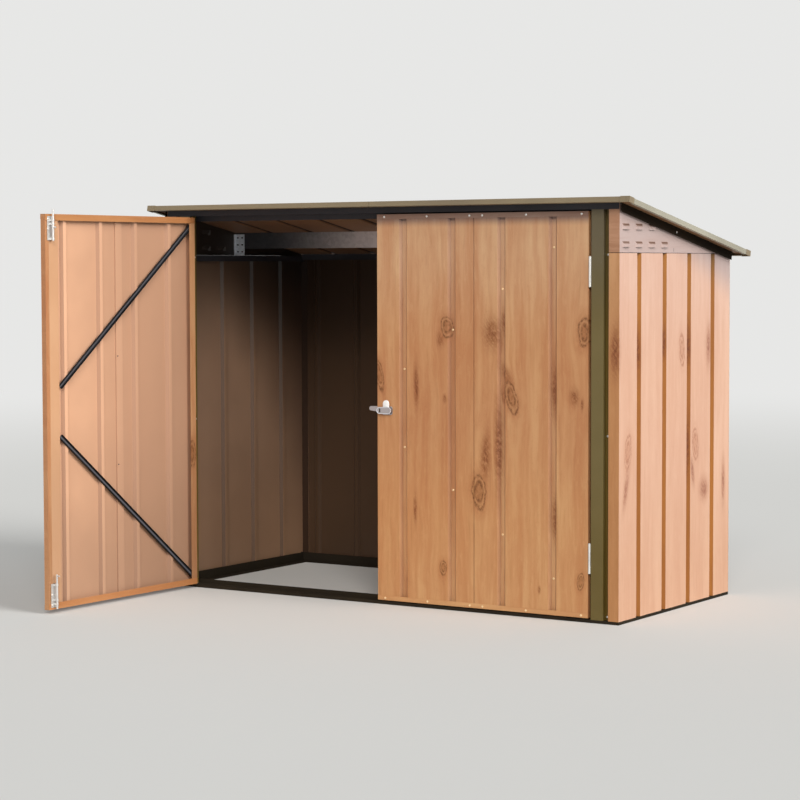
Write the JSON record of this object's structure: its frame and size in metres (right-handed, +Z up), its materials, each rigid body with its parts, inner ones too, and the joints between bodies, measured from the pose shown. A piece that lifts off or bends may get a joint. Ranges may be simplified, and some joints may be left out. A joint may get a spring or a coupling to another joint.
{
  "type": "bike store",
  "caption": "Low sheet-steel bike store with a pent roof, ribbed wood-print walls, vented gables and outward-opening double doors with barrel bolts and a turn latch",
  "frame": {"origin": "On the ground, at the middle of the walls' footprint and of the four anchor holes", "axes": "+X to the right seen from the doors, +Y to the back, +Z up"},
  "size_m": [2.286, 1.9667, 1.6195],
  "materials": {
    "wood_print": "satin",
    "olive_paint": "satin",
    "dark_paint": "satin",
    "rail_paint": "satin",
    "roof_paint": "satin",
    "trim_paint": "satin",
    "galvanised": "matt",
    "hinge_steel": "satin",
    "brace_paint": "satin",
    "zinc": "satin",
    "latch_grey": "satin",
    "latch_white": "gloss"
  },
  "bodies": {
    "store": {"side_wall_left": "wood_print", "side_wall_right": "wood_print", "gable_left": "wood_print", "gable_right": "wood_print", "back_wall_sheet_1": "wood_print", "back_wall_sheet_2": "wood_print", "back_wall_sheet_3": "wood_print", "back_wall_sheet_4": "wood_print", "door_post_left": "olive_paint", "door_post_right": "olive_paint", "header": "dark_paint", "wall_top_rails": "dark_paint", "wall_top_rail_back": "dark_paint", "eave_rails": "dark_paint", "base_rail_front": "rail_paint", "base_rail_back": "rail_paint", "base_rail_left": "rail_paint", "base_rail_right": "rail_paint", "roof_sheet_1": "roof_paint", "roof_sheet_2": "roof_paint", "roof_sheet_3": "roof_paint", "roof_sheet_4": "roof_paint", "roof_trim_front": "trim_paint", "roof_trim_back": "trim_paint", "roof_trims_side": "trim_paint", "roof_corner_caps": "trim_paint", "purlin": "galvanised", "purlin_brackets": "galvanised", "post_hinge_leaves": "hinge_steel"},
    "left_door": {"left_door_sheet_hinge_side": "wood_print", "left_door_sheet_free_side": "wood_print", "left_door_edge_channels": "wood_print", "left_door_free_stile": "wood_print", "left_door_braces": "brace_paint", "left_door_hinge_leaves": "hinge_steel", "left_door_bolt_plates": "zinc"},
    "right_door": {"right_door_sheet_hinge_side": "wood_print", "right_door_sheet_free_side": "wood_print", "right_door_edge_channels": "wood_print", "right_door_free_stile": "wood_print", "right_door_braces": "brace_paint", "right_door_hinge_leaves": "hinge_steel", "latch_plate": "latch_grey"},
    "latch": {"latch_lever": "latch_grey", "latch_thumb": "latch_white", "latch_cam": "latch_grey"},
    "upper_bolt": {"bolt_rod_upper": "zinc"},
    "lower_bolt": {"bolt_rod_lower": "zinc"}
  },
  "joints": [
    {"name": "left_door_hinge", "type": "hinge", "parent": "store", "child": "left_door", "pos_m": [-0.9495, -0.4925, 0.792], "axis": [0, 0, -1], "range_deg": [-91.4, 18.6]},
    {"name": "right_door_hinge", "type": "hinge", "parent": "store", "child": "right_door", "pos_m": [0.9495, -0.4925, 0.792], "axis": [0, 0, 1], "range_deg": [0, 110]},
    {"name": "latch_turn", "type": "hinge", "parent": "right_door", "child": "latch", "pos_m": [0.034, -0.4925, 0.783], "axis": [0, 1, 0], "range_deg": [0, 90]},
    {"name": "upper_bolt_slide", "type": "slide", "parent": "left_door", "child": "upper_bolt", "axis": [0, 0, 1], "range_m": [-0.02, 0]},
    {"name": "lower_bolt_slide", "type": "slide", "parent": "left_door", "child": "lower_bolt", "axis": [0, 0, -1], "range_m": [0, 0.018]}
  ]
}
